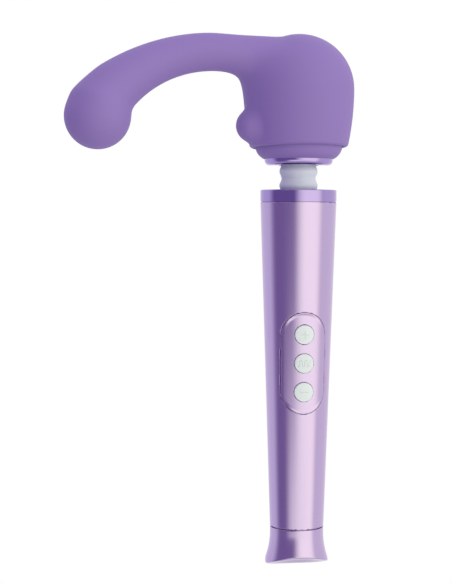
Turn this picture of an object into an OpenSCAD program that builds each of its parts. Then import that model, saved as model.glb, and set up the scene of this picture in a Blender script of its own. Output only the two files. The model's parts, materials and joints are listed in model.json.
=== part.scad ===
// Handheld wand massager with a slip-on curved attachment over its head.
// Millimetres. +Z runs up the wand's axis to the head, and the buttons face -Y.
// The origin is on the axis, at the mouth of the charging socket in the end cap.

/* [Handle] */
// Height of the joint line between the end cap and the tube
seam_z = 17; // [16:0.5:19]
// Height of the tube's top edge
tube_top_z = 179.6; // [176:0.1:180]
// Radius of the tube at its joint with the end cap
tube_low_r = 13.45; // [13.4:0.05:14]
// Radius of the tube at its top edge
tube_high_r = 18.95; // [18.9:0.05:19.4]
// Wall thickness of the tube
tube_wall = 1.2; // [1:0.1:1.3]
// Height of the polished ring on top of the tube
handle_ring_h = 6; // [5.5:0.1:6.5]
// Radius of the sweep that flares the end cap
flare_r = 38; // [34:1:44]
// Largest radius of the end cap, at its rim
cap_rim_r = 15.8; // [15.5:0.1:16.5]
// Slope of the end cap's underside, which faces forwards and down
base_tilt = 18; // [12:1:20]
// Radius of the arch across the end cap's underside
arch_r = 134; // [100:1:200]

/* [Button panel] */
// Height of the middle of the panel and of its middle button
panel_z = 100.3; // [96:0.1:104]
// Width of the panel
panel_w = 21.8; // [20:0.1:23]
// Height of the panel
panel_h = 50.3; // [46:0.1:54]
// Distance between two buttons
button_pitch = 14.2; // [13:0.1:15]
// Radius of a button
button_r = 4.85; // [4.5:0.05:5]
// How far a button stands out of the panel
button_proud = 0.35; // [0.1:0.05:0.6]
// How far a button travels when it is pressed
button_travel = 0.6; // [0.4:0.05:0.6]

/* [Neck] */
// Height of the gap between the handle's ring and the head's ring
neck_gap = 12.1; // [12:0.1:13]
// Largest radius of the ribbed boot
boot_r = 9.5; // [9.2:0.1:9.6]
// Radius in the groove between the boot's ribs
boot_groove_r = 8.4; // [8.3:0.05:8.6]
// Radius of the spring's wire
spring_wire_r = 0.9; // [0.7:0.1:1]
// Number of turns of the spring
spring_turns = 7; // [6:1:8]

/* [Head] */
// Radius of the head
head_r = 21.75; // [21.5:0.05:21.8]
// Height of the head above its polished ring
head_h = 52.4; // [51:0.1:54]
// Thickness of the head's silicone skin
skin_t = 2.4; // [2:0.1:2.6]
// Radius of the motor
motor_r = 11.9; // [11:0.1:12]
// Length of the motor's can
motor_h = 30; // [28:0.5:30]

/* [Attachment] */
// Clearance between the attachment and the head
sleeve_gap = 0.3; // [0.2:0.05:0.5]
// Radius of the attachment's round top
dome_r = 27.4; // [27:0.1:29]
// Outer radius at the attachment's rim
rim_r = 24.6; // [24.5:0.1:25.5]
// Height of the arm's middle line where it leaves the cup
arm_z = 252; // [251:0.1:253]
// Radius of the arm at the cup
arm_r = 9.2; // [8.5:0.1:10]
// Radius of the ball at the arm's end
ball_r = 15.85; // [14:0.05:17]
// Turn of the arm from -X towards the front
arm_turn = 12; // [0:0.5:25]
// Radius of the small nub on the cup
nub_r = 8.4; // [7:0.1:9]

/* [Hidden] */
$fn = 96;

// Small gaps: around glued and screwed joints, and between a shaft and its bush.
fit_gap = 0.05;
run_gap = 0.03;

// Handle, worked out from the sizes above.
taper = atan((tube_high_r - tube_low_r) / (tube_top_z - seam_z));
ring_top_z = tube_top_z + handle_ring_h;
ring_r = tube_high_r + 0.05;
seam_w = 0.4;
plate_t = 2;
spigot_r = tube_low_r - tube_wall - 0.12;
spigot_top_z = seam_z + 6;
seal_z = seam_z + 3;

// Depths under the tube's front face, at the middle of the panel.
panel_r = tube_r(panel_z);
panel_gap = 0.2;
panel_flange = 1;
button_gap = 0.15;
button_lip_r = button_r + 1.05;
button_lip_depth = 3.7;
button_lip_t = 0.5;
stem_depth = 4.3;
membrane_depth = stem_depth + button_travel + fit_gap;
membrane_t = 0.4;
switch_w = 5.2;
switch_h = 1.3;
plunger_h = 0.25;
board_depth = membrane_depth + membrane_t + plunger_h + switch_h;
board_t = 1;
board_w = 18;
board_low = -30;
board_high = 42;

// Battery and the carrier behind it.
cell_r = 9.15;
cell_h = 65;
cell_y = 2.6;
cell_z = 30;
carrier_t = 1.5;
carrier_low_z = 24;
carrier_high_z = 158;

// Neck and head heights.
head_ring_z = ring_top_z + neck_gap;
head_ring_h = 3.2;
head_ring_r = 17;
skin_z = head_ring_z + head_ring_h;
head_top_z = skin_z + head_h;
neck_bore_r = 9.9;
boot_in_r = 7.2;
boot_flange_r = 10.9;
boot_flange_t = 1.45;
spring_r = 5.6;
spring_bore_r = 7;
spring_low_z = tube_top_z - 2.1;
spring_high_z = skin_z + 4.9;

screw_ring_r = 14;
head_screw_ring_r = 12.3;

// Rounding of the head: its lower bowl, its shoulder and its shallow crown.
bowl_r = 7.7;
bowl_z = skin_z + 7;
shoulder_r = 15;
crown_r = 60;
shell_t = 2;
split_z = skin_z + 14;
floor_z = skin_z + 3.8;

// Motor, with its shaft pointing up.
motor_z = skin_z + 7.4;
motor_top_z = motor_z + motor_h;
shaft_r = 1.15;
mount_t = 1.5;
cradle_t = 1.55;
weight_r = 10;
weight_h = 7;
weight_z = motor_top_z + 2;

// Attachment: the cup's cone, and the arm's straight root and two bends.
rim_z = skin_z + 5.7;
dome_z = head_top_z + 9.3 - dome_r;
rim_round = 1.4;
cup_side_r = (pow(dome_r - rim_r, 2) + pow(dome_z - rim_z - rim_round, 2)) / (2 * (dome_r - rim_r));
cup_bore_r = head_r + sleeve_gap;
arm_root_u = 12;
arm_bend_u = 43;
bend_1_r = 82;
bend_1_deg = 38;
bend_2_r = 30;
bend_2_deg = 30;
arm_tail = 2.8;
arm_growth = 6.4;
core_r = 4.5;
core_ball_r = 8.5;
core_root_u = 34;
nub_u = 24.6;
nub_z = skin_z + 16;

function tube_r(z) = tube_low_r + (z - seam_z) * tan(taper);

// A slice of the tube's cone, grown or shrunk by a radius.
module cone_slice(grow, z0, z1) {
    translate([0, 0, z0])
        cylinder(h = z1 - z0, r1 = tube_r(z0) + grow, r2 = tube_r(z1) + grow);
}

// A washer, or a plain disc where inner is 0.
module washer(inner, outer, z0, z1) {
    difference() {
        translate([0, 0, z0]) cylinder(h = z1 - z0, r = outer);
        if (inner > 0) translate([0, 0, z0 - 1]) cylinder(h = z1 - z0 + 2, r = inner);
    }
}

// The children turned about the axis, count times.
module around(count, start = 0) {
    for (i = [0 : count - 1]) rotate([0, 0, start + i * 360 / count]) children();
}

// The frame of the panel: on the tube's front face, with local -Y pointing out of it.
module front_frame() {
    translate([0, -panel_r, panel_z]) rotate([taper, 0, 0]) children();
}

// The frame of the underside: local -Z points out of the end cap.
module base_frame() {
    rotate([-base_tilt, 0, 0]) children();
}

// A disc or pin that points out of the panel, from one depth to a shallower one.
module front_disc(r, deep, shallow, up = 0, side = 0) {
    front_frame() translate([side, deep, up]) rotate([90, 0, 0]) cylinder(h = deep - shallow, r = r);
}

// An upright outline with round ends.
module stadium(w, h) {
    square([w, h - w], center = true);
    for (s = [-1, 1]) translate([0, s * (h - w) / 2]) circle(d = w);
}

module front_stadium(w, h, deep, shallow) {
    front_frame() translate([0, deep, 0]) rotate([90, 0, 0])
        linear_extrude(height = deep - shallow) stadium(w, h);
}

// A cross-recessed pan-head screw with its point at the origin, and its head up.
module screw(r, length, head_r, head_h) {
    difference() {
        union() {
            cylinder(h = length, r = r);
            translate([0, 0, length]) cylinder(h = head_h, r = head_r);
        }
        for (a = [0, 90]) rotate([0, 0, a])
            translate([0, 0, length + head_h]) cube([head_r, 0.35, head_h], center = true);
    }
}

// An insulated lead through a list of points.
module lead(points, r) {
    for (i = [0 : len(points) - 2]) {
        step = points[i + 1] - points[i];
        across = norm([step[0], step[1]]);
        translate(points[i])
            rotate([0, atan2(across, step[2]), atan2(step[1], step[0])])
                cylinder(h = norm(step), r = r);
        if (i > 0) translate(points[i]) sphere(r = r + 0.06);
    }
}

// A closed tube swept along rings, each ring given as a list of points.
module skin_rings(rings) {
    count = len(rings);
    sides = len(rings[0]);
    polyhedron(
        points = [for (ring = rings) each ring],
        faces = [
            [for (j = [0 : sides - 1]) j],
            [for (j = [0 : sides - 1]) count * sides - 1 - j],
            for (i = [0 : count - 2]) for (j = [0 : sides - 1])
                let (k = (j + 1) % sides)
                [i * sides + j, (i + 1) * sides + j, (i + 1) * sides + k, i * sides + k]
        ]
    );
}

// ---- End cap and charging socket

module cap_outline(inset, low_z, high_z) {
    // A concave sweep from the seam down, cut off below the lowest edge.
    rotate_extrude() difference() {
        translate([0, low_z]) square([cap_rim_r - inset, high_z - low_z]);
        translate([tube_low_r + flare_r, seam_z - 3]) circle(r = flare_r + inset, $fn = 256);
        translate([tube_low_r - inset, seam_z - 3]) square([flare_r + 20, 10]);
    }
}

module under_base(depth) {
    // Everything below the arched underside, moved up by a depth.
    base_frame() translate([0, 0, depth - arch_r]) rotate([90, 0, 0])
        cylinder(h = 90, r = arch_r, center = true, $fn = 360);
}

module end_cap() {
    color("MediumPurple") difference() {
        union() {
            cap_outline(0, -12, seam_z - seam_w / 2);
            washer(0, spigot_r, seam_z - 1, spigot_top_z);
        }
        difference() {
            union() {
                cap_outline(1.6, -12, seam_z - 3);
                washer(0, spigot_r - 1.3, seam_z - 4, spigot_top_z + 1);
            }
            under_base(2);
        }
        under_base(0);
        base_frame() translate([0, 0, -5]) cylinder(h = 12, r = 3.2);
        difference() {
            washer(0, spigot_r + 1, seal_z - 0.7, seal_z + 0.7);
            washer(0, spigot_r - 0.95, seal_z - 1, seal_z + 1);
        }
    }
}

module end_cap_seal() {
    color("DimGray") rotate_extrude() translate([spigot_r - 0.38, seal_z]) circle(r = 0.55);
}

module port_bezel() {
    // A soft ring round the socket, flush with the underside.
    color("DimGray") base_frame() difference() {
        union() {
            cylinder(h = 2.2, r = 3.15);
            translate([0, 0, 2.05]) cylinder(h = 0.9, r = 4.4);
        }
        translate([0, 0, -1]) cylinder(h = 6, r = 2.05);
    }
}

module charge_socket() {
    color("Black") base_frame() difference() {
        union() {
            cylinder(h = 3.2, r = 2);
            translate([0, 0, 3]) cylinder(h = 7.5, r = 3.9);
        }
        translate([0, 0, -1]) cylinder(h = 9.5, r = 1.25);
    }
}

module charge_leads() {
    color("Crimson") for (s = [-1, 1]) lead([
        [s * 2, 3.4, 10.3], [s * 2.6, 3.4, 12], [s * 6.5, 1, 16.5], [s * 9.35, -3.4, 22],
        [s * 10.3, -4.6, 62], [s * 7.5, -7.2, 69.2]
    ], 0.6);
}

// ---- Handle

module handle_tube() {
    color("MediumPurple") difference() {
        cone_slice(0, seam_z + seam_w / 2, tube_top_z);
        cone_slice(-tube_wall, seam_z - 1, tube_top_z + 1);
        front_stadium(panel_w, panel_h, 8, -5);
    }
}

module handle_ring() {
    // A polished collar with a skirt inside the tube and a flat top round the neck.
    color("RebeccaPurple") difference() {
        union() {
            rotate_extrude() intersection() {
                translate([0, tube_top_z + 0.3]) square([ring_r, handle_ring_h - 0.3]);
                union() {
                    square([ring_r, ring_top_z - 0.5]);
                    square([ring_r - 0.5, ring_top_z]);
                    translate([ring_r - 0.5, ring_top_z - 0.5]) circle(r = 0.5);
                }
            }
            washer(0, ring_r - 0.35, tube_top_z, tube_top_z + 1);
            washer(0, tube_high_r - tube_wall - 0.3, tube_top_z - 6.7, tube_top_z + 1);
        }
        translate([0, 0, tube_top_z - 10]) cylinder(h = 10 + handle_ring_h - plate_t, r = 15.9);
        washer(0, neck_bore_r, tube_top_z, ring_top_z + 1);
        around(3) translate([screw_ring_r, 0, ring_top_z - plate_t - 1]) cylinder(h = 2.5, r = 1.25);
    }
}

module chassis() {
    // The carrier that slides into the tube: a half shell, bulkheads and the board's ledges.
    color("DarkSlateGray") difference() {
        union() {
            difference() {
                cone_slice(-tube_wall - 0.15, carrier_low_z, carrier_high_z);
                cone_slice(-tube_wall - 0.15 - carrier_t, carrier_low_z - 1, carrier_high_z + 1);
                translate([-30, -60, 0]) cube([60, 60, 200]);
            }
            intersection() {
                cone_slice(-tube_wall - 0.15, carrier_low_z, carrier_high_z);
                union() {
                    translate([-8.5, -6.8, carrier_low_z]) cube([17, 30, 3]);
                    translate([-8.5, -6.2, cell_z + cell_h + 2]) cube([17, 30, 2]);
                    translate([-8.5, -6.2, 146]) cube([17, 30, 2]);
                }
            }
            intersection() {
                cone_slice(-tube_wall - 0.15, carrier_low_z, carrier_high_z);
                front_frame() translate([-7.5, board_depth + board_t + fit_gap, board_high - 12])
                    cube([15, 30, 8]);
            }
        }
        translate([0, cell_y, cell_z - 1]) cylinder(h = cell_h + 2, r = cell_r + 0.15);
        for (s = [-1, 1])
            front_disc(1.0, board_depth + board_t + 6, board_depth, board_high - 8, s * 5);
    }
}

module battery_cell() {
    color("SteelBlue") translate([0, cell_y, cell_z]) {
        cylinder(h = cell_h - 1, r = cell_r);
        cylinder(h = cell_h, r = 3);
    }
}

module battery_tabs() {
    // One welded strip on each end of the cell.
    color("Silver") {
        translate([-3, cell_y - 6, cell_z - 0.25]) cube([6, 12, 0.2]);
        translate([-3, cell_y - 6, cell_z + cell_h + fit_gap]) cube([6, 12, 0.2]);
    }
}

module control_board() {
    color("SeaGreen") difference() {
        front_frame() translate([-board_w / 2, board_depth, board_low])
            cube([board_w, board_t, board_high - board_low]);
        for (s = [-1, 1]) front_disc(1.15, board_depth + 3, board_depth - 1, board_high - 8, s * 5);
    }
}

module board_screws() {
    color("Silver") for (s = [-1, 1])
        front_frame() translate([s * 5, board_depth + board_t + 4, board_high - 8])
            rotate([90, 0, 0]) screw(0.95, board_t + 4, 1.9, 1.1);
}

module board_chips() {
    // Controller, motor driver and charger chips, and the two lead connectors.
    color("Black") front_frame() {
        for (chip = [[-4, -25, 5, 5, 1], [3.5, -24, 4, 4, 0.9], [-4.5, 26, 5, 6, 1.2], [4, 25, 4, 5, 1]])
            translate([chip[0] - chip[2] / 2, board_depth - chip[4], chip[1] - chip[3] / 2])
                cube([chip[2], chip[4], chip[3]]);
    }
}

module button_switches() {
    color("Silver") for (i = [-1 : 1]) {
        front_frame() translate([-switch_w / 2, board_depth - switch_h, i * button_pitch - switch_w / 2])
            cube([switch_w, switch_h, switch_w]);
        front_disc(1.3, board_depth - switch_h, membrane_depth + membrane_t, i * button_pitch);
    }
}

module keypad_membrane() {
    color("Gainsboro") front_stadium(15, panel_h - 4, membrane_depth + membrane_t, membrane_depth);
}

module button_panel() {
    // An inlaid plate with a glued flange behind the tube's wall and a fine engraved border.
    color("Plum") difference() {
        union() {
            intersection() {
                cone_slice(0, panel_z - panel_h, panel_z + panel_h);
                front_stadium(panel_w - 2 * panel_gap, panel_h - 2 * panel_gap, 8, -5);
            }
            intersection() {
                cone_slice(-tube_wall - fit_gap, panel_z - panel_h, panel_z + panel_h);
                front_stadium(panel_w + 2.4, panel_h + 2.4, 8, -5);
            }
        }
        cone_slice(-tube_wall - panel_flange, panel_z - panel_h, panel_z + panel_h);
        difference() {
            front_stadium(panel_w - 2.2, panel_h - 2.2, 8, -5);
            front_stadium(panel_w - 2.8, panel_h - 2.8, 9, -6);
            cone_slice(-0.25, panel_z - panel_h, panel_z + panel_h);
        }
        for (i = [-1 : 1]) front_disc(button_r + button_gap, 9, -5, i * button_pitch);
    }
}

// A button cap: its face follows the handle's curve, and a lip behind the panel keeps it in.
module button_cap(place) {
    intersection() {
        front_disc(button_r, button_lip_depth + 0.1, -5, place * button_pitch);
        cone_slice(button_proud, panel_z - panel_h, panel_z + panel_h);
    }
    front_disc(button_lip_r, button_lip_depth + button_lip_t, button_lip_depth, place * button_pitch);
    front_disc(1.8, stem_depth, button_lip_depth, place * button_pitch);
}

module button_plus() { color("Azure") button_cap(1); }
module button_wave() { color("Azure") button_cap(0); }
module button_minus() { color("Azure") button_cap(-1); }

// ---- Neck

module neck_socket() {
    // The plug inside the handle's ring that holds the spring's lower end.
    color("DarkSlateGray") difference() {
        washer(0, 15.8, tube_top_z - 10.5, ring_top_z - plate_t - boot_flange_t - 2 * fit_gap);
        washer(0, spring_bore_r, spring_low_z - 0.6, ring_top_z);
        washer(0, 2.6, tube_top_z - 12, ring_top_z);
        around(3) translate([screw_ring_r, 0, tube_top_z - 12]) cylinder(h = 30, r = 1.35);
    }
}

module neck_screws() {
    color("Silver") around(3)
        translate([screw_ring_r, 0, ring_top_z - plate_t + 1.4]) rotate([180, 0, 0])
            screw(1.2, ring_top_z - plate_t + 1.4 - (tube_top_z - 10.5), 1.7, 1.5);
}

module neck_boot() {
    // A soft sleeve with two ribs, and a flange clamped at each end.
    low_z = ring_top_z - plate_t - boot_flange_t - fit_gap;
    high_z = skin_z + boot_flange_t + fit_gap;
    rib_r = 5.1;
    color("Lavender") rotate_extrude() {
        intersection() {
            union() {
                translate([0, ring_top_z + fit_gap]) square([boot_groove_r, neck_gap - 2 * fit_gap]);
                for (z = [ring_top_z + 2.1, head_ring_z - 2.9])
                    translate([boot_r - rib_r, z]) circle(r = rib_r);
            }
            translate([boot_in_r, ring_top_z + fit_gap]) square([boot_r, neck_gap - 2 * fit_gap]);
        }
        translate([boot_in_r, low_z]) square([boot_groove_r - boot_in_r, high_z - low_z]);
        translate([boot_in_r, low_z]) square([boot_flange_r - boot_in_r, boot_flange_t]);
        translate([boot_in_r, high_z - boot_flange_t]) square([boot_flange_r - boot_in_r, boot_flange_t]);
    }
}

module neck_spring() {
    sides = 8;
    steps = spring_turns * 20;
    rise = spring_high_z - spring_low_z - 2 * spring_wire_r;
    color("Silver") skin_rings([
        for (i = [0 : steps]) let (turn = 360 * spring_turns * i / steps)
        [for (j = [0 : sides - 1]) let (
            a = -360 * j / sides,
            r = spring_r + spring_wire_r * cos(a)
        ) [r * cos(turn), r * sin(turn), spring_low_z + spring_wire_r + rise * i / steps + spring_wire_r * sin(a)]]
    ]);
}

module motor_leads() {
    // Two leads from the board, up the middle of the spring, to the motor's terminals.
    color("Crimson") for (s = [-1, 1])
        translate([s * 1.3, 0, tube_top_z - 16]) cylinder(h = motor_z - 2.4 - tube_top_z + 16, r = 0.7);
}

// ---- Head

// The head's half outline, shrunk all round but open at its lower end.
module head_outline(inset, low_z = skin_z, foot_r = head_r - bowl_r) {
    r = head_r - inset;
    intersection() {
        union() {
            translate([0, low_z]) square([foot_r, bowl_z - low_z]);
            translate([0, bowl_z]) square([r, head_top_z - shoulder_r - bowl_z]);
            translate([0, bowl_z]) square([head_r - shoulder_r, head_top_z - inset - bowl_z]);
            translate([head_r - bowl_r, bowl_z]) circle(r = bowl_r - inset);
            translate([head_r - shoulder_r, head_top_z - shoulder_r]) circle(r = shoulder_r - inset);
        }
        translate([0, low_z]) square([head_r + 5, head_h + 20]);
        translate([0, head_top_z - crown_r]) circle(r = crown_r - inset, $fn = 360);
    }
}

module head_ring() {
    color("RebeccaPurple") difference() {
        rotate_extrude() intersection() {
            translate([0, head_ring_z]) square([head_ring_r, head_ring_h]);
            union() {
                translate([0, head_ring_z]) square([head_ring_r - 2.5, head_ring_h]);
                translate([head_ring_r - 2.5, head_ring_z + 2.5]) circle(r = 2.5);
                translate([0, head_ring_z + 2.5]) square([head_ring_r, head_ring_h]);
            }
        }
        washer(0, neck_bore_r, head_ring_z - 1, skin_z + 1);
        around(3, 60) translate([head_screw_ring_r, 0, head_ring_z + 1.4]) cylinder(h = 4, r = 0.95);
    }
}

module head_frame() {
    // The lower half of the hard head, with the motor's cradle standing on its floor.
    inset = skin_t + fit_gap;
    color("DarkSlateGray") difference() {
        union() {
            rotate_extrude() difference() {
                intersection() {
                    head_outline(inset, skin_z + fit_gap, head_r - bowl_r - fit_gap);
                    translate([0, skin_z]) square([head_r, split_z - skin_z]);
                }
                difference() {
                    head_outline(inset + shell_t, skin_z);
                    square([head_r, floor_z]);
                }
            }
            washer(motor_r + mount_t + fit_gap, motor_r + mount_t + cradle_t, floor_z - 1, motor_top_z);
        }
        washer(0, spring_bore_r, skin_z - 1, spring_high_z + 0.2);
        washer(0, boot_flange_r + 0.2, skin_z - 1, skin_z + boot_flange_t + 2 * fit_gap);
        washer(0, 2.6, skin_z, floor_z + 1);
        around(3, 60) translate([head_screw_ring_r, 0, skin_z - 1]) cylinder(h = 8, r = 1);
    }
}

module head_screws() {
    color("Silver") around(3, 60) translate([head_screw_ring_r, 0, head_ring_z + 1.5])
        screw(0.9, floor_z - head_ring_z - 1.5, 1.1, 1.1);
}

module head_shell() {
    inset = skin_t + fit_gap;
    color("DarkSlateGray") rotate_extrude() difference() {
        head_outline(inset, split_z + fit_gap);
        head_outline(inset + shell_t, split_z - 1);
    }
}

module head_skin() {
    color("MediumPurple") rotate_extrude() difference() {
        head_outline(0);
        head_outline(skin_t, skin_z - 1);
    }
}

// ---- Motor

module motor_mount() {
    color("DimGray") washer(motor_r + fit_gap, motor_r + mount_t, motor_z + 4, motor_top_z - 4);
}

module motor_can() {
    color("Silver") difference() {
        union() {
            washer(0, motor_r, motor_z, motor_top_z);
            washer(0, 4, motor_top_z - 0.5, motor_top_z + 1.2);
        }
        washer(0, motor_r - 1, motor_z - 1, motor_top_z - 1);
        washer(0, 2.8, motor_top_z - 3, motor_top_z + 3);
    }
}

module motor_end_bell() {
    // The plastic end of the motor, with its two terminals pointing down.
    color("Ivory") {
        difference() {
            washer(0, motor_r - 1 - fit_gap, motor_z, motor_z + 3);
            washer(0, 2.8, motor_z - 1, motor_z + 4);
        }
        for (s = [-1, 1]) translate([s * 4.6 - 0.4, -1, motor_z - 1.6]) cube([0.8, 2, 2]);
    }
}

module motor_magnets() {
    // Two curved magnets inside the can.
    color("DimGray") difference() {
        washer(9.3, motor_r - 1 - fit_gap, motor_z + 5, motor_top_z - 4);
        translate([0, 0, motor_z + motor_h / 2]) cube([8, 40, motor_h], center = true);
    }
}

module motor_bushes() {
    color("Peru") {
        washer(shaft_r + run_gap, 2.75, motor_z + 0.1, motor_z + 3);
        washer(shaft_r + run_gap, 2.75, motor_top_z - 1.8, motor_top_z + 1.2);
    }
}

module motor_clamp() {
    // A snap ring on top of the cradle that holds the motor down.
    color("DarkSlateGray")
        washer(6.5, motor_r + mount_t + cradle_t, motor_top_z + fit_gap, motor_top_z + 1.6);
}

module motor_shaft() {
    color("Silver") washer(0, shaft_r, motor_z - 0.8, weight_z + weight_h);
}

module motor_armature() {
    // A three-pole core on the shaft.
    color("DimGray") difference() {
        washer(shaft_r, 8.8, motor_z + 8, motor_top_z - 6);
        around(3) translate([3.6, -2.2, 0]) cube([3.4, 4.4, 400]);
        around(3) translate([6, -0.7, 0]) cube([5, 1.4, 400]);
    }
}

module motor_windings() {
    color("Chocolate") {
        washer(3, 7.6, motor_top_z - 6, motor_top_z - 3.6);
        washer(3, 7.6, motor_z + 5.8, motor_z + 8);
    }
}

module motor_commutator() {
    color("Goldenrod") washer(shaft_r, 2.7, motor_z + 3.3, motor_z + 8);
}

module eccentric_weight() {
    // A half disc clamped on the shaft, which shakes the head as it spins.
    color("Goldenrod") difference() {
        union() {
            intersection() {
                washer(0, weight_r, weight_z, weight_z + weight_h);
                translate([-20, -40, weight_z - 1]) cube([40, 40, weight_h + 2]);
            }
            washer(0, 3.4, weight_z, weight_z + weight_h);
        }
        washer(0, shaft_r, weight_z - 1, weight_z + weight_h + 1);
    }
}

// ---- Attachment

// The arm's middle line as [distance out, height, angle down], at a length from the first bend.
bend_1_len = bend_1_r * bend_1_deg * PI / 180;
bend_2_len = bend_2_r * bend_2_deg * PI / 180;
arm_len = bend_1_len + bend_2_len + arm_tail;
function arm_line(s) =
    s <= 0 ? [arm_bend_u + s, arm_z, 0]
    : s <= bend_1_len ? arm_bend([arm_bend_u, arm_z, 0], bend_1_r, s)
    : s <= bend_1_len + bend_2_len ? arm_bend(arm_line(bend_1_len), bend_2_r, s - bend_1_len)
    : let (p = arm_line(bend_1_len + bend_2_len), more = s - bend_1_len - bend_2_len)
        [p[0] + more * cos(p[2]), p[1] - more * sin(p[2]), p[2]];
function arm_bend(from, r, s) = let (a = from[2] + s / r * 180 / PI)
    [from[0] + r * (sin(a) - sin(from[2])), from[1] - r * (cos(from[2]) - cos(a)), a];
function arm_radius(s) = arm_r + arm_growth * pow(max(0, s) / arm_len, 2.3);

// A ring of the arm, upright across its middle line.
function arm_ring(s, r, sides) = let (p = arm_line(s))
    [for (j = [0 : sides - 1]) let (a = 360 * j / sides, out = r * cos(a))
        [-(p[0] + out * sin(p[2])), r * sin(a), p[1] + out * cos(p[2])]];

arm_end = arm_line(arm_len);

module arm_solid(start, grow, core) {
    // The arm, or its core where core is true, from a start on its straight root.
    steps = 30;
    skin_rings([for (i = [0 : steps]) let (s = start + (arm_len - start) * i / steps)
        arm_ring(s, core ? core_r + grow : arm_radius(s), 24)]);
    translate([-arm_end[0], 0, arm_end[1]]) sphere(r = core ? core_ball_r + grow : ball_r);
}

module cup_outline() {
    // The cup: a rounded rim, a side that widens upwards and a round top.
    difference() {
        union() {
            intersection() {
                translate([dome_r - cup_side_r, dome_z]) circle(r = cup_side_r, $fn = 720);
                union() {
                    translate([0, rim_z + rim_round]) square([dome_r, dome_z - rim_z - rim_round]);
                    translate([0, rim_z]) square([rim_r - rim_round, 2 * rim_round]);
                    translate([rim_r - rim_round, rim_z + rim_round]) circle(r = rim_round);
                }
            }
            translate([0, dome_z]) intersection() {
                circle(r = dome_r, $fn = 256);
                square([dome_r, dome_r]);
            }
        }
        translate([0, rim_z - 5]) square([cup_bore_r, bowl_z - rim_z + 5]);
        head_outline(-sleeve_gap, bowl_z - 1);
    }
}

module attachment_sleeve() {
    color("MediumSlateBlue") rotate([0, 0, arm_turn]) difference() {
        union() {
            rotate_extrude() cup_outline();
            difference() {
                union() {
                    arm_solid(arm_root_u - arm_bend_u, 0, false);
                    translate([-nub_u, 0, nub_z]) sphere(r = nub_r);
                }
                washer(0, cup_bore_r, rim_z - 5, head_top_z - shoulder_r);
                rotate_extrude() head_outline(-sleeve_gap, bowl_z - 1);
            }
        }
        arm_solid(core_root_u - arm_bend_u, fit_gap, true);
    }
}

module attachment_core() {
    // The steel core moulded into the arm, which stiffens and weights it.
    color("Silver") rotate([0, 0, arm_turn]) arm_solid(core_root_u - arm_bend_u, 0, true);
}

end_cap();
end_cap_seal();
port_bezel();
charge_socket();
charge_leads();
handle_tube();
handle_ring();
chassis();
battery_cell();
battery_tabs();
control_board();
board_screws();
board_chips();
button_switches();
keypad_membrane();
button_panel();
button_plus();
button_wave();
button_minus();
neck_socket();
neck_screws();
neck_boot();
neck_spring();
motor_leads();
head_ring();
head_frame();
head_screws();
head_shell();
head_skin();
motor_mount();
motor_can();
motor_end_bell();
motor_magnets();
motor_bushes();
motor_clamp();
motor_shaft();
motor_armature();
motor_windings();
motor_commutator();
eccentric_weight();
attachment_sleeve();
attachment_core();
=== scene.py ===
"""The looks of a handheld wand massager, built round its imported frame.

Everything is in metres in the frame's own axes: +Z up the wand, -Y the front with the buttons.
Shapes are worked out in millimetres and scaled when their mesh is made.
"""
import json
import math

import bpy
import numpy as np
from mathutils import Matrix, Vector


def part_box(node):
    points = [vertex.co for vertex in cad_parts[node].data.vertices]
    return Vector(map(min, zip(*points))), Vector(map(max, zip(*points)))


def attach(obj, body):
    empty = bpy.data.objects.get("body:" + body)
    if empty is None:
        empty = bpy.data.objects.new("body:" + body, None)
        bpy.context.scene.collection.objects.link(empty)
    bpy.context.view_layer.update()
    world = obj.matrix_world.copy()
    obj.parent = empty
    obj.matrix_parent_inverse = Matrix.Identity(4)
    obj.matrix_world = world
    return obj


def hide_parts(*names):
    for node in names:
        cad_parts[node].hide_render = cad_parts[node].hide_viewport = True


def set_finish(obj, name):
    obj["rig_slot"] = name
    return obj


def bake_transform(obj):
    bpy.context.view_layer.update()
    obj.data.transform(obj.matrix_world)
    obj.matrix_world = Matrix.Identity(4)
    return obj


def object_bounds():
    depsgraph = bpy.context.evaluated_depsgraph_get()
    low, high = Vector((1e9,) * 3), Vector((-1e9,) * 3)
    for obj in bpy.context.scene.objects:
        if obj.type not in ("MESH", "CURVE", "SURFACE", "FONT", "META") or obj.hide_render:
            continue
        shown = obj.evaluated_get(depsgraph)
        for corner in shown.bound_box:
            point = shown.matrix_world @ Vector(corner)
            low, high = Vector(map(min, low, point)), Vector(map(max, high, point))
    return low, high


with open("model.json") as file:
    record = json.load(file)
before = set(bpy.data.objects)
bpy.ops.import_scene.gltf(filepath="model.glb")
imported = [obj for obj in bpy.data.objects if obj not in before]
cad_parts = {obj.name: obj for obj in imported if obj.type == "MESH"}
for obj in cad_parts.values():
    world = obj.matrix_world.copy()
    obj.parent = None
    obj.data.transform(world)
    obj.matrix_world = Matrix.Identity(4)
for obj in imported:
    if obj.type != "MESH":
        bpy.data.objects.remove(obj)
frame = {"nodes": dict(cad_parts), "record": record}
nodes = frame["nodes"]
cad_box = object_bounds()

MM = 0.001


def low(node):
    """The lowest corner of a node, in millimetres."""
    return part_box(node)[0] / MM


def high(node):
    """The highest corner of a node, in millimetres."""
    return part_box(node)[1] / MM


# ---- Heights and sizes taken from the frame, in millimetres.

TUBE_TOP_Z = high("handle_tube").z
RING_TOP_Z = high("handle_ring").z
HEAD_RING_Z = low("head_ring").z
SKIN_Z = low("head_skin").z
HEAD_R = high("head_skin").x
BOOT_FLANGE_R = high("neck_boot").x
BOOT_LOW_Z = low("neck_boot").z
BOOT_HIGH_Z = high("neck_boot").z
SPRING_LOW_Z = low("neck_spring").z
SPRING_HIGH_Z = high("neck_spring").z
LEAD_LOW_Z = low("motor_leads").z
LEAD_HIGH_Z = high("motor_leads").z

# ---- Sizes of the CAD source that the frame's boxes don't give, in millimetres and degrees.

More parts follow.
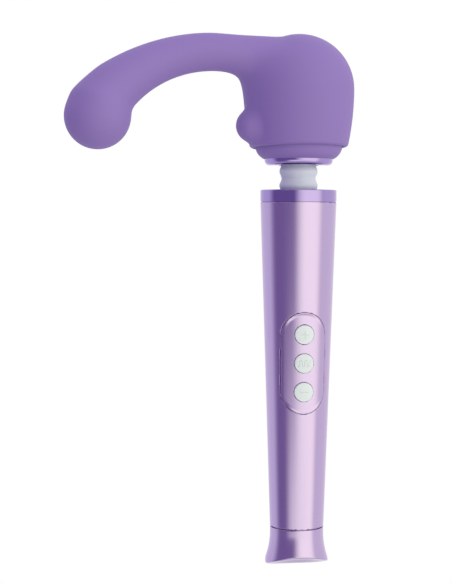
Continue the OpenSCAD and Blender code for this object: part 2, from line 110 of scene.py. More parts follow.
SEAM_Z = 17.0
SEAM_W = 0.4
TUBE_LOW_R = 13.45
TUBE_HIGH_R = 18.95
TAPER = math.atan((TUBE_HIGH_R - TUBE_LOW_R) / (TUBE_TOP_Z - SEAM_Z))
SPIGOT_R = 12.13
SPIGOT_TOP_Z = 23.0
FLARE_R = 38.0
CAP_RIM_R = 15.8
BASE_TILT = math.radians(18.0)
ARCH_R = 134.0
HEAD_TOP_Z = SKIN_Z + 52.4
HEAD_SHOULDER_R = 15.0
HEAD_CROWN_R = 60.0
GROOVE_Z = HEAD_RING_Z - 6.1


# ---- Meshes

def add_mesh(name, points, faces, smooth=True):
    """A mesh object from points in millimetres."""
    mesh = bpy.data.meshes.new(name)
    mesh.from_pydata((np.asarray(points, float) * MM).tolist(), [], faces)
    mesh.polygons.foreach_set("use_smooth", [smooth] * len(mesh.polygons))
    mesh.update()
    obj = bpy.data.objects.new(name, mesh)
    bpy.context.scene.collection.objects.link(obj)
    return obj


def ring_faces(rings, sides, close_rings=False, flip=False):
    """Quads between rings of points, each ring closed on itself."""
    faces = []
    for i in range(rings if close_rings else rings - 1):
        for j in range(sides):
            a = i * sides + j
            b = i * sides + (j + 1) % sides
            c = ((i + 1) % rings) * sides + (j + 1) % sides
            d = ((i + 1) % rings) * sides + j
            faces.append((a, d, c, b) if flip else (a, b, c, d))
    return faces


def lathe(name, profile, sides=160):
    """A solid of revolution from a closed outline of (radius, height), anticlockwise."""
    turn = np.linspace(0, 2 * math.pi, sides, endpoint=False)
    points = [(r * math.cos(a), r * math.sin(a), z) for r, z in profile for a in turn]
    return add_mesh(name, points, ring_faces(len(profile), sides, close_rings=True))


def tube_along(path, radius, sides=12):
    """Points and faces of a closed tube round a path of points."""
    path = np.asarray(path, float)
    ahead = np.gradient(path, axis=0)
    ahead /= np.linalg.norm(ahead, axis=1)[:, None]
    side = np.cross(ahead, np.array([0.0, 0.0, 1.0]))
    weak = np.linalg.norm(side, axis=1) < 0.2
    side[weak] = np.cross(ahead[weak], np.array([1.0, 0.0, 0.0]))
    side /= np.linalg.norm(side, axis=1)[:, None]
    up = np.cross(side, ahead)
    turn = np.linspace(0, 2 * math.pi, sides, endpoint=False)
    rings = path[:, None] + radius * (
        np.cos(turn)[None, :, None] * side[:, None] + np.sin(turn)[None, :, None] * up[:, None])
    faces = ring_faces(len(path), sides, flip=True)
    faces.append(tuple(range(sides)))
    faces.append(tuple(reversed(range((len(path) - 1) * sides, len(path) * sides))))
    return rings.reshape(-1, 3), faces


def merge(parts):
    """Several (points, faces) as one."""
    points, faces, base = [], [], 0
    for p, f in parts:
        points.extend(np.asarray(p).tolist())
        faces.extend(tuple(i + base for i in face) for face in f)
        base += len(p)
    return points, faces


# ---- Smooth shapes from distance fields, negative inside. Points are rows of x, y, z.

def round_union(a, b, r):
    """Both shapes together, with a fillet of radius r where they meet."""
    u = np.maximum(r - a, 0.0)
    v = np.maximum(r - b, 0.0)
    return np.maximum(r, np.minimum(a, b)) - np.hypot(u, v)


def soft_union(a, b, k):
    """Both shapes together, flowing into each other over a width k with no visible start."""
    k = np.maximum(k, 1e-6)
    h = np.maximum(k - np.abs(a - b), 0.0) / k
    return np.minimum(a, b) - h ** 3 * k / 6.0


def round_cut(a, b, r):
    """What both shapes share, with its edge rounded to radius r."""
    u = np.maximum(r + a, 0.0)
    v = np.maximum(r + b, 0.0)
    return np.minimum(-r, np.maximum(a, b)) + np.hypot(u, v)


def ease(x, x0, x1):
    """From 0 at x0 to 1 at x1, smoothly."""
    t = np.clip((x - x0) / (x1 - x0), 0.0, 1.0)
    return t * t * (3 - 2 * t)


def along(axis, span):
    """An index for a 3-D array that takes span on one axis and everything on the others."""
    return tuple(span if k == axis else slice(None) for k in range(3))


def net_vertices(grid, value):
    """One point in each grid cell that the surface passes through, and the cells' numbers."""
    cells = tuple(n - 1 for n in value.shape)
    total = np.zeros(cells + (3,))
    count = np.zeros(cells)
    for axis in range(3):
        v0, v1 = value[along(axis, slice(None, -1))], value[along(axis, slice(1, None))]
        crossed = (v0 < 0) != (v1 < 0)
        share = np.where(crossed, v0 / np.where(crossed, v0 - v1, 1.0), 0.0)[..., None]
        p0, p1 = grid[along(axis, slice(None, -1))], grid[along(axis, slice(1, None))]
        point = (p0 + share * (p1 - p0)) * crossed[..., None]
        others = [k for k in range(3) if k != axis]
        for du in (slice(None, -1), slice(1, None)):
            for dw in (slice(None, -1), slice(1, None)):
                pick = [slice(None)] * 3
                pick[others[0]], pick[others[1]] = du, dw
                total += point[tuple(pick)]
                count += crossed[tuple(pick)]
    number = np.full(cells, -1)
    number[count > 0] = np.arange(int((count > 0).sum()))
    return total[count > 0] / count[count > 0][:, None], number


def net_faces(value, number):
    """A quad round each grid edge that crosses the surface, facing outwards."""
    faces = []
    for axis in range(3):
        u, w = (axis + 1) % 3, (axis + 2) % 3
        v0, v1 = value[along(axis, slice(None, -1))], value[along(axis, slice(1, None))]
        inner = [slice(None)] * 3
        inner[u] = inner[w] = slice(1, -1)
        v0, v1 = v0[tuple(inner)], v1[tuple(inner)]

        def cell(du, dw):
            pick = [slice(None)] * 3
            pick[u] = slice(1, None) if du else slice(None, -1)
            pick[w] = slice(1, None) if dw else slice(None, -1)
            return number[tuple(pick)]

        quad = np.stack([cell(0, 0), cell(1, 0), cell(1, 1), cell(0, 1)], -1)
        faces.append(quad[(v0 < 0) & (v1 >= 0)])
        faces.append(quad[(v0 >= 0) & (v1 < 0)][:, ::-1])
    return np.concatenate(faces)


def slope(field, points, step=0.02):
    """The field's gradient at some points."""
    out = np.empty_like(points)
    for k in range(3):
        shift = np.zeros(3)
        shift[k] = step
        out[:, k] = (field(points + shift) - field(points - shift)) / (2 * step)
    return out


def settle(field, points, faces, rounds, reach):
    """Evens the net out and moves each point exactly onto the surface."""
    ends = np.concatenate([faces[:, [k, (k + 1) % 4]] for k in range(4)])
    for step in range(rounds):
        if step < rounds - 2:
            total = np.zeros_like(points)
            count = np.zeros(len(points))
            np.add.at(total, ends[:, 0], points[ends[:, 1]])
            np.add.at(total, ends[:, 1], points[ends[:, 0]])
            np.add.at(count, ends[:, 0], 1)
            np.add.at(count, ends[:, 1], 1)
            points = 0.5 * points + 0.5 * total / count[:, None]
        grad = slope(field, points)
        move = (field(points) / np.maximum((grad ** 2).sum(1), 0.05))[:, None] * grad
        length = np.linalg.norm(move, axis=1)[:, None]
        points = points - move * np.minimum(1.0, reach / np.maximum(length, 1e-9))
    return points


def field_mesh(name, field, xs, ys, zs, rounds=6, reach=0.6):
    """A smooth quad mesh of a field's surface, shaded by the field's own slope."""
    grid = np.stack(np.meshgrid(xs, ys, zs, indexing="ij"), -1)
    value = field(grid.reshape(-1, 3)).reshape(grid.shape[:3])
    points, number = net_vertices(grid, value)
    faces = net_faces(value, number)
    points = settle(field, points, faces, rounds, reach)
    obj = add_mesh(name, points, faces.tolist())
    normal = slope(field, points)
    normal /= np.linalg.norm(normal, axis=1)[:, None]
    obj.data.normals_split_custom_set_from_vertices(normal.tolist())
    return obj


# ---- Attachment: a cup over the head, an arm that bends down, a ball and a small nub

RIM_Z = SKIN_Z + 5.7
RIM_R = 24.6
RIM_ROUND = 1.4
RIM_LEAN = 0.036
DOME_R = 27.4
DOME_Z = HEAD_TOP_Z + 9.3 - DOME_R
CUP_SIDE_R = ((DOME_R - RIM_R) ** 2 + (DOME_Z - RIM_Z - RIM_ROUND) ** 2) / (2 * (DOME_R - RIM_R))
SLEEVE_GAP = 0.3
ARM_Z = 252.0
ARM_R = 9.2
ARM_ROOT_U = 12.0
ARM_BEND_U = 43.0
ARM_BENDS = ((82.0, math.radians(38.0)), (30.0, math.radians(30.0)))
ARM_TAIL = 2.8
ARM_GROWTH = 6.4
ARM_POWER = 2.3
ARM_TURN = math.radians(12.0)
BALL_R = 15.85
NUB_R = 8.4
NUB_U = 24.6
NUB_Z = SKIN_Z + 16.0
FILLET_LOW = 24.0
FILLET_TOP = 2.0
NUB_FILLET = 3.5
MOUTH_ROUND = 0.5
BALL_CORNER = (2.0, 7.0)
ARM_WAIST = 0.45


def arm_pieces():
    """The arm's middle line as pieces: start out and up, slope, radius or None, length, and way so far."""
    pieces = []
    u, z, angle, way = ARM_ROOT_U, ARM_Z, 0.0, ARM_ROOT_U - ARM_BEND_U
    spans = [(None, 0.0, ARM_BEND_U - ARM_ROOT_U)]
    spans += [(r, turned, r * turned) for r, turned in ARM_BENDS]
    spans += [(None, 0.0, ARM_TAIL)]
    for r, turned, length in spans:
        pieces.append((u, z, angle, r, length, way))
        if r is None:
            u, z = u + length * math.cos(angle), z - length * math.sin(angle)
        else:
            end = angle + turned
            u += r * (math.sin(end) - math.sin(angle))
            z -= r * (math.cos(angle) - math.cos(end))
            angle = end
        way += length
    return pieces, (u, z, angle, way)


PIECES, ARM_END = arm_pieces()


def nearest_on(piece, u, z):
    """The nearest place on a piece of the line: distance, side of the bend, and way along the arm."""
    u0, z0, angle, r, length, way = piece
    if r is None:
        du, dz = u - u0, z - z0
        t = np.clip(du * math.cos(angle) - dz * math.sin(angle), 0.0, length)
        du, dz = du - t * math.cos(angle), dz + t * math.sin(angle)
        return np.hypot(du, dz), du * math.sin(angle) + dz * math.cos(angle), way + t
    du, dz = u - (u0 - r * math.sin(angle)), z - (z0 - r * math.cos(angle))
    turn = np.clip(np.arctan2(du, dz), angle, angle + length / r)
    du, dz = du - r * np.sin(turn), dz - r * np.cos(turn)
    return np.hypot(du, dz), du * np.sin(turn) + dz * np.cos(turn), way + r * (turn - angle)


def arm_field(u, v, z):
    """The tapered arm, cut off square at the ball's middle. Also how far out of its bend a point is."""
    across, outer, way = nearest_on(PIECES[0], u, z)
    for piece in PIECES[1:]:
        gap, side, along_arm = nearest_on(piece, u, z)
        closer = gap < across
        across = np.where(closer, gap, across)
        outer = np.where(closer, side, outer)
        way = np.where(closer, along_arm, way)
    growth = ARM_GROWTH * (np.maximum(way, 0.0) / ARM_END[3]) ** ARM_POWER
    waist = ARM_WAIST * ease(-way, -8.0, 16.0)
    return np.hypot(across, v) - ARM_R - growth + waist, outer


def cup_field(r, z, rim_z):
    """The cup's outside: a rounded rim, a side that widens upwards and a round top."""
    side = np.hypot(r - (DOME_R - CUP_SIDE_R), z - DOME_Z) - CUP_SIDE_R
    dome = np.hypot(r, z - DOME_Z) - DOME_R
    return round_cut(np.where(z > DOME_Z, dome, side), rim_z - z, RIM_ROUND)


def bore_field(r, z):
    """The space for the head inside the cup."""
    qr = r - (HEAD_R - HEAD_SHOULDER_R)
    qz = z - (HEAD_TOP_Z - HEAD_SHOULDER_R)
    body = np.minimum(np.maximum(qr, qz), 0.0) + np.hypot(np.maximum(qr, 0.0), np.maximum(qz, 0.0))
    crown = np.hypot(r, z - (HEAD_TOP_Z - HEAD_CROWN_R)) - HEAD_CROWN_R
    return np.maximum(body - HEAD_SHOULDER_R, crown) - SLEEVE_GAP


def attachment_field(p):
    """The whole attachment, in its own frame with the arm along -X."""
    u, v, z = -p[:, 0], p[:, 1], p[:, 2]
    r = np.hypot(u, v)
    arm, outer = arm_field(u, v, z)
    end_u, end_z, end_angle, _ = ARM_END
    past = (u - end_u) * math.cos(end_angle) - (z - end_z) * math.sin(end_angle)
    ball = np.sqrt((u - end_u) ** 2 + v ** 2 + (z - end_z) ** 2) - BALL_R
    corner = BALL_CORNER[0] + (BALL_CORNER[1] - BALL_CORNER[0]) * ease(outer, -9.0, 9.0)
    corner = corner * ease(-past, -2.0, 8.0)
    arm = soft_union(np.maximum(arm, past), ball, corner)
    nub = np.sqrt((u - NUB_U) ** 2 + v ** 2 + (z - NUB_Z) ** 2) - NUB_R
    rim_z = RIM_Z - RIM_LEAN * v
    cup = round_union(cup_field(r, z, rim_z), nub, NUB_FILLET)
    cup = np.maximum(cup, rim_z - z)
    fillet = FILLET_TOP + (FILLET_LOW - FILLET_TOP) * ease(ARM_Z - z, -ARM_R, 0.4 * ARM_R)
    solid = soft_union(cup, arm, fillet)
    return round_cut(solid, -bore_field(r, z), MOUTH_ROUND)


def steps(*spans):
    """Grid values from spans of (start, end, step)."""
    parts = [np.linspace(a, b, max(2, round((b - a) / step)), endpoint=False) for a, b, step in spans]
    return np.concatenate(parts + [[spans[-1][1]]])


def make_attachment():
    """The attachment's silicone body."""
    xs = steps((-124.0, -36.0, 1.1), (-36.0, 31.0, 0.9))
    ys = steps((-30.0, 30.0, 0.9))
    zs = steps((199.0, RIM_Z - 1.6, 1.1), (RIM_Z - 1.6, RIM_Z + 3.0, 0.4), (RIM_Z + 3.0, 266.0, 1.0))
    obj = field_mesh("attachment_body", attachment_field, xs, ys, zs)
    obj.data.transform(Matrix.Rotation(ARM_TURN, 4, "Z"))
    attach(obj, "attachment")
    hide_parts("attachment_sleeve")
    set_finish(obj, "soft_violet")
    return obj


# ---- End cap: a flare cut off by an arched, oblique underside

CAP_WALL = 1.6
CAP_FLOOR = 2.0
CAP_HEEL = 2.5
CAP_TOE = 0.8
UNDER_DISH = 0.9
UNDER_TOE = 0.5
UNDER_HEEL = 0.2
PORT_HOLE_R = 3.2


def flare_radius(z, inset=0.0):
    """The end cap's outer radius at a height, or its inner one with the wall as the inset."""
    drop = max(0.0, SEAM_Z - 3 - z)
    flare = TUBE_LOW_R + FLARE_R - math.sqrt((FLARE_R + inset) ** 2 - drop ** 2)
    rim = CAP_RIM_R - inset
    soft = 0.5
    blend = max(0.0, soft - abs(flare - rim)) / soft
    return min(flare, rim) - blend * blend * soft / 4


def step_up(x, x0, x1):
    """From 0 at x0 to 1 at x1, smoothly, for one number."""
    t = min(1.0, max(0.0, (x - x0) / (x1 - x0)))
    return t * t * (3 - 2 * t)


def under_z(x, y, depth=0.0):
    """The height of the arched and slightly dished underside, moved up by a depth."""
    dish = UNDER_DISH + UNDER_TOE * step_up(-y, 0.0, 12.0) + UNDER_HEEL * step_up(y, 0.0, 12.0)
    dish *= step_up(math.hypot(x, y), 5.5, 13.0)
    arch = math.sqrt(ARCH_R ** 2 - x ** 2) - ARCH_R + depth - dish
    return (arch - y * math.sin(BASE_TILT)) / math.cos(BASE_TILT)


def meet_under(turn, depth, inset):
    """Where the side meets the underside, at an angle round the axis."""
    z = 0.0
    for _ in range(40):
        r = flare_radius(z, inset)
        z = 0.5 * z + 0.5 * under_z(r * math.cos(turn), r * math.sin(turn), depth)
    return flare_radius(z, inset), z


def bezier(a, b, c, count):
    """Points of a quadratic curve from a to c, bent towards b, without its last one."""
    for k in range(count):
        t = k / count
        yield tuple((1 - t) ** 2 * p + 2 * t * (1 - t) * q + t * t * s for p, q, s in zip(a, b, c))


def cap_loop(turn):
    """The end cap's outline at one angle, as points in space, from the seam down and back up."""
    cos, sin = math.cos(turn), math.sin(turn)
    edge = CAP_TOE + (CAP_HEEL - CAP_TOE) * step_up(sin, -0.25, 0.5)

    def at(r, z):
        return (r * cos, r * sin, z)

    def on_under(r, depth):
        return at(r, under_z(r * cos, r * sin, depth))

    top = SEAM_Z - SEAM_W / 2
    corner_r, corner_z = meet_under(turn, 0.0, 0.0)
    loop = list(bezier(at(TUBE_LOW_R - 0.25, top), at(TUBE_LOW_R, top), at(TUBE_LOW_R, top - 0.25), 4))
    for k in range(40):
        z = top - 0.25 + (corner_z + edge - top + 0.25) * k / 40
        loop.append(at(flare_radius(z), z))
    loop += bezier(at(flare_radius(corner_z + edge), corner_z + edge), at(corner_r, corner_z),
                   on_under(corner_r - edge, 0.0), 8)
    tilt = Matrix.Rotation(-BASE_TILT, 3, "X")
    hole = [tilt @ Vector((PORT_HOLE_R * cos, PORT_HOLE_R * sin, h)) for h in (0.0, CAP_FLOOR)]
    hole_r = math.hypot(hole[0].x, hole[0].y)
    hole_turn = math.atan2(hole[0].y, hole[0].x)
    swing = (hole_turn - turn + math.pi) % (2 * math.pi) - math.pi
    for k in range(12):
        t = k / 12
        r = (corner_r - edge) * (1 - t) + hole_r * t
        a = turn + swing * t
        x, y = r * math.cos(a), r * math.sin(a)
        loop.append((x, y, under_z(x, y)))
    loop.append(tuple(hole[0]))
    loop.append(tuple(hole[1]))
    inner_r, inner_z = meet_under(turn, CAP_FLOOR, CAP_WALL)
    for k in range(1, 5):
        t = k / 5
        x = hole[1].x * (1 - t) + inner_r * cos * t
        y = hole[1].y * (1 - t) + inner_r * sin * t
        loop.append((x, y, under_z(x, y, CAP_FLOOR)))
    for k in range(12):
        z = inner_z + (SEAM_Z - 4 - inner_z) * k / 12
        loop.append(at(flare_radius(z, CAP_WALL), z))
    loop += [at(SPIGOT_R - 1.3, SEAM_Z - 3.6), at(SPIGOT_R - 1.3, SPIGOT_TOP_Z), at(SPIGOT_R, SPIGOT_TOP_Z),
             at(SPIGOT_R, SEAM_Z + 3.7), at(SPIGOT_R - 0.95, SEAM_Z + 3.7),
             at(SPIGOT_R - 0.95, SEAM_Z + 2.3), at(SPIGOT_R, SEAM_Z + 2.3), at(SPIGOT_R, top)]
    return loop


def make_end_cap():
    """The flared metal end cap."""
    sides = 200
    loops = [cap_loop(2 * math.pi * j / sides) for j in range(sides)]
    count = len(loops[0])
    points = [loops[j][i] for i in range(count) for j in range(sides)]
    obj = add_mesh("end_cap_body", points, ring_faces(count, sides, close_rings=True, flip=True))
    mark_sharp(obj, 50)
    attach(obj, "handle")
    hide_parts("end_cap")
    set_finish(obj, "anodised_violet")
    return obj


def mark_sharp(obj, degrees):
    """Shades edges steeper than an angle as sharp."""
    obj.data.set_sharp_from_angle(angle=math.radians(degrees))


# ---- Neck: boot, spring and leads, each made in two halves; the boot has two ribs

BOOT_R = 9.5
BOOT_GROOVE_R = 8.45
BOOT_IN_R = 7.2
BOOT_FLANGE_T = 1.45
RIB_LOW_Z = RING_TOP_Z + 2.1
RIB_HIGH_Z = HEAD_RING_Z - 2.9
SPRING_R = 5.6
SPRING_WIRE_R = 0.9
SPRING_TURNS = 7
LEAD_R = 0.7
LEAD_X = 1.3


def boot_outer(z):
    """The boot's outer radius at a height between the two polished rings."""
    swell = 0.0
    for rib in (RIB_LOW_Z, RIB_HIGH_Z):
        reach = 3.7
        d = min(1.0, abs(z - rib) / reach)
        swell = max(swell, 0.5 + 0.5 * math.cos(math.pi * d))
    return BOOT_GROOVE_R + (BOOT_R - BOOT_GROOVE_R) * swell


def boot_half(lower):
    """Outline of half of the boot, with its clamped flange, anticlockwise."""
    z0, z1 = (RING_TOP_Z + 0.05, GROOVE_Z) if lower else (GROOVE_Z, HEAD_RING_Z - 0.05)
    outer = [(boot_outer(z), z) for z in np.linspace(z0, z1, 28)]
    inner = [(BOOT_IN_R, z) for z in np.linspace(z1, z0, 20)]
    if lower:
        flange = [(BOOT_IN_R, BOOT_LOW_Z), (BOOT_FLANGE_R, BOOT_LOW_Z),
                  (BOOT_FLANGE_R, BOOT_LOW_Z + BOOT_FLANGE_T), (boot_outer(z0), BOOT_LOW_Z + BOOT_FLANGE_T)]
        return flange + outer + inner
    flange = [(boot_outer(z1), BOOT_HIGH_Z - BOOT_FLANGE_T), (BOOT_FLANGE_R, BOOT_HIGH_Z - BOOT_FLANGE_T),
              (BOOT_FLANGE_R, BOOT_HIGH_Z), (BOOT_IN_R, BOOT_HIGH_Z)]
    return outer + flange + inner


def bend_neck_piece(obj, lower, node, slot_name):
    """Bakes half a neck piece's place into its mesh, hides its CAD node and gives it a finish."""
    if lower:
        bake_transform(obj)
    else:
        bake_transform(obj)
    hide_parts(node)
    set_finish(obj, slot_name)
    return obj


def spring_half(lower):
    """Half of the coil spring."""
    count = SPRING_TURNS * 28
    rise = SPRING_HIGH_Z - SPRING_LOW_Z - 2 * SPRING_WIRE_R
    path = []
    for k in range(count + 1):
        turn = 2 * math.pi * SPRING_TURNS * k / count
        z = SPRING_LOW_Z + SPRING_WIRE_R + rise * k / count
        if (z <= GROOVE_Z + 0.1) if lower else (z >= GROOVE_Z - 0.1):
            path.append((SPRING_R * math.cos(turn), SPRING_R * math.sin(turn), z))
    return tube_along(path, SPRING_WIRE_R)


def leads_half(lower):
    """Half of the two leads that run up the middle of the spring."""
    z0, z1 = (LEAD_LOW_Z, GROOVE_Z) if lower else (GROOVE_Z, LEAD_HIGH_Z)
    parts = []
    for side in (-1, 1):
        path = [(side * LEAD_X, 0.0, z) for z in np.linspace(z0, z1, 30)]
        parts.append(tube_along(path, LEAD_R))
    return merge(parts)


def make_neck():
    """The ribbed boot with the spring and leads inside it."""
    made = {"boot": [], "spring": [], "leads": []}
    for lower in (True, False):
        tag = "lower" if lower else "upper"
        boot = lathe("neck_boot_" + tag, boot_half(lower))
        mark_sharp(boot, 50)
        made["boot"].append(bend_neck_piece(boot, lower, "neck_boot", "neck_silicone"))
        spring = add_mesh("neck_spring_" + tag, *spring_half(lower))
        made["spring"].append(bend_neck_piece(spring, lower, "neck_spring", "spring_steel"))
        leads = add_mesh("motor_leads_" + tag, *leads_half(lower))
        made["leads"].append(bend_neck_piece(leads, lower, "motor_leads", "wire_red"))
    return made


# ---- Button panel and buttons with engraved symbols

PANEL_Z = 100.3
PANEL_R = TUBE_LOW_R + (PANEL_Z - SEAM_Z) * math.tan(TAPER)
TUBE_WALL = 1.2
OPENING_W = 21.7
OPENING_H = 50.2
FRONT_DEPTH = 10.0
TUBE_END_ROUND = 0.2
PANEL_W = 21.66
PANEL_H = 50.16
EDGE_ROUND = 0.12
HOLE_ROUND = 0.15
PANEL_FACE_R = 18.6
PANEL_SINK = 0.04
PANEL_BORDER = 1.6
PANEL_BACK = (1.7, 2.8)
PANEL_FLANGE = 1.4
HOLE_R = 4.84
BUTTON_PITCH = 14.2
BUTTON_R = 4.73
BUTTON_PROUD = 0.35
BUTTON_EDGE = 0.3
LIP_DEPTH = 3.7
LIP_T = 0.5
STEM_DEPTH = 4.3
STEM_R = 1.8
SYMBOL_W = 0.18
SYMBOL_DEPTH = 0.12
WAVE_HALF = 3.3
WAVE_PITCH = 2.64
WAVE_RISE = 1.6
WAVE_FLATNESS = 2.2


def front_point(x, depth, up):
    """The place of a point given across, in under the tube's face, and up from the panel's middle."""
    y = -PANEL_R + depth * math.cos(TAPER) - up * math.sin(TAPER)
    return (x, y, PANEL_Z + depth * math.sin(TAPER) + up * math.cos(TAPER))


def face_depth(x, up):
    """How far in the tube's surface lies at a place in the panel's frame."""
    r = (PANEL_R + up * math.sin(TAPER)) / math.cos(TAPER)
    return r - math.sqrt(r * r - x * x)


def panel_frame(p):
    """Points in the panel's frame: how far in under the tube's front line, and up from the middle."""
    fwd, rise = p[:, 1] + PANEL_R, p[:, 2] - PANEL_Z
    depth = fwd * math.cos(TAPER) + rise * math.sin(TAPER)
    return depth, rise * math.cos(TAPER) - fwd * math.sin(TAPER)


def stadium(x, up, width, height):
    """Distance from an upright outline with two straight sides and round ends."""
    return np.hypot(x, np.maximum(np.abs(up) - (height - width) / 2, 0.0)) - width / 2


def panel_field(p):
    """The inlaid panel: a sloping border, a flatter face, three holes, and a flange behind."""
    x = p[:, 0]
    depth, up = panel_frame(p)
    r = (PANEL_R + up * math.sin(TAPER)) / math.cos(TAPER)
    tube = r - np.sqrt(np.maximum(r * r - x * x, 1.0))
    flat_r = r * PANEL_FACE_R / PANEL_R
    side = PANEL_W / 2 - PANEL_BORDER
    flush = (r - np.sqrt(r * r - side ** 2)) - (flat_r - np.sqrt(flat_r ** 2 - side ** 2))
    flat = flat_r - np.sqrt(np.maximum(flat_r ** 2 - x * x, 1.0)) + flush + PANEL_SINK
    edge = stadium(x, up, PANEL_W, PANEL_H)
    inward = ease(-edge, 0.0, PANEL_BORDER)
    face = tube + inward * (flat - tube)
    steep = np.sqrt(np.maximum(1 - (x / r) ** 2, 0.05))
    plate = round_cut((face - depth) * steep, edge, EDGE_ROUND)
    flange = np.maximum((tube + PANEL_BACK[0] / steep - depth) * steep, edge - PANEL_FLANGE)
    solid = np.maximum(np.minimum(plate, flange), (depth - tube) * steep - PANEL_BACK[1])
    for place in (-1, 0, 1):
        hole = HOLE_R - np.hypot(x, up - place * BUTTON_PITCH)
        solid = round_cut(solid, hole, HOLE_ROUND)
    return solid


def tube_field(p):
    """The tapered tube with the opening for the panel in its front."""
    x, z = p[:, 0], p[:, 2]
    radius = TUBE_LOW_R + (z - SEAM_Z) * math.tan(TAPER)
    shell = (np.hypot(x, p[:, 1]) - radius) * math.cos(TAPER)
    ends = np.maximum(SEAM_Z + SEAM_W / 2 - z, z - TUBE_TOP_Z)
    wall = round_cut(round_cut(shell, ends, TUBE_END_ROUND), -shell - TUBE_WALL, TUBE_END_ROUND)
    depth, up = panel_frame(p)
    edge = stadium(x, up, OPENING_W, OPENING_H)
    return round_cut(wall, np.where(depth < FRONT_DEPTH, -edge, -5.0), EDGE_ROUND)


def make_tube():
    """The handle's tube."""
    across = steps((-TUBE_HIGH_R - 0.8, TUBE_HIGH_R + 0.8, 0.6))
    low_z, high_z = PANEL_Z - OPENING_H / 2 - 2.0, PANEL_Z + OPENING_H / 2 + 2.0
    zs = steps((SEAM_Z - 1.0, SEAM_Z + 2.0, 0.5), (SEAM_Z + 2.0, low_z, 1.6), (low_z, high_z, 0.6),
               (high_z, TUBE_TOP_Z - 2.0, 1.6), (TUBE_TOP_Z - 2.0, TUBE_TOP_Z + 1.0, 0.5))
    obj = field_mesh("handle_tube_body", tube_field, across, across, zs, 3, 0.3)
    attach(obj, "handle")
    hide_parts("handle_tube")
    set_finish(obj, "anodised_violet")
    return obj


def make_panel():
    """The button panel."""
    reach = PANEL_W / 2 + PANEL_FLANGE + 0.6
    xs = steps((-reach, reach, 0.34))
    ys = steps((-PANEL_R - 1.6, -PANEL_R + 12.0, 0.34))
    zs = steps((PANEL_Z - PANEL_H / 2 - 2.4, PANEL_Z + PANEL_H / 2 + 2.4, 0.34))
    obj = field_mesh("button_panel_plate", panel_field, xs, ys, zs, 3, 0.15)
    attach(obj, "handle")
    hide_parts("button_panel")
    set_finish(obj, "anodised_violet")
    return obj


def to_segment(x, y, a, b):
    """Distance from a point to a straight stroke."""
    dx, dy = b[0] - a[0], b[1] - a[1]
    t = ((x - a[0]) * dx + (y - a[1]) * dy) / (dx * dx + dy * dy)
    t = min(1.0, max(0.0, t))
    return math.hypot(x - a[0] - t * dx, y - a[1] - t * dy)


def symbol_strokes(symbol):
    """The engraved symbol's strokes as pairs of points in millimetres."""
    if symbol == "plus":
        return [((-2.0, 0), (2.0, 0)), ((0, -2.0), (0, 2.0))]
    if symbol == "minus":
        return [((-2.1, 0), (2.1, 0))]
    wave = []
    for x in np.linspace(-WAVE_HALF, WAVE_HALF, 57):
        swing = math.sin(2 * math.pi * (x + WAVE_HALF) / WAVE_PITCH - math.pi / 2)
        wave.append((x, WAVE_RISE * math.tanh(WAVE_FLATNESS * swing) / math.tanh(WAVE_FLATNESS)))
    return list(zip(wave[:-1], wave[1:]))


def engraved(x, y, strokes):
    """Depth of the engraving at a place on a button's face."""
    if math.hypot(x, y) > 4.2:
        return 0.0
    nearest = min(to_segment(x, y, a, b) for a, b in strokes)
    t = min(1.0, max(0.0, 1.5 - nearest / SYMBOL_W))
    return SYMBOL_DEPTH * t * t * (3 - 2 * t)


def make_button(symbol, place):
    """A button cap with an engraved symbol, a rounded edge, and a lip behind the panel."""
    sides = 144
    strokes = symbol_strokes(symbol)
    middle = place * BUTTON_PITCH
    rows = [(BUTTON_R - BUTTON_EDGE) * k / 44 for k in range(1, 45)]
    points = []
    depths = []
    for r in rows:
        for j in range(sides):
            a = 2 * math.pi * j / sides
            x, y = r * math.cos(a), r * math.sin(a)
            cut = engraved(x, y, strokes)
            depths.append(cut / SYMBOL_DEPTH)
            points.append(front_point(x, face_depth(x, middle + y) - BUTTON_PROUD + cut, middle + y))
    edge = [(BUTTON_R - BUTTON_EDGE * (1 - math.sin(t)), BUTTON_EDGE * (1 - math.cos(t)))
            for t in np.linspace(0.3, math.pi / 2, 5)]
    for r, sink in edge:
        for j in range(sides):
            a = 2 * math.pi * j / sides
            x, y = r * math.cos(a), r * math.sin(a)
            depth = face_depth(x, middle + y) - BUTTON_PROUD + sink
            points.append(front_point(x, depth, middle + y))
    back = [(BUTTON_R, LIP_DEPTH), (BUTTON_R + 1.05, LIP_DEPTH), (BUTTON_R + 1.05, LIP_DEPTH + LIP_T),
            (STEM_R, LIP_DEPTH + LIP_T), (STEM_R, STEM_DEPTH)]
    for r, depth in back:
        for j in range(sides):
            a = 2 * math.pi * j / sides
            points.append(front_point(r * math.cos(a), depth, middle + r * math.sin(a)))
    rings = len(rows) + len(edge) + len(back)
    faces = ring_faces(rings, sides)
    first = len(points)
    points.append(front_point(0, -BUTTON_PROUD + engraved(0, 0, strokes), middle))
    faces += [(first, (j + 1) % sides, j) for j in range(sides)]
    last = len(points)
    points.append(front_point(0, STEM_DEPTH, middle))
    base = (rings - 1) * sides
    faces += [(last, base + j, base + (j + 1) % sides) for j in range(sides)]
    obj = add_mesh("button_%s_cap" % symbol, points, faces)
    # The engraving's depth at each point, which the finish reads to paint shade in the grooves.
    groove_shade = obj.data.attributes.new("groove_shade", "FLOAT", "POINT")
    groove_shade.data.foreach_set("value", depths + [0.0] * (len(points) - len(depths)))
    mark_sharp(obj, 50)
    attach(obj, symbol + "_key")
    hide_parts("button_" + symbol)
    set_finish(obj, "button_resin")
    return obj


# ---- Materials

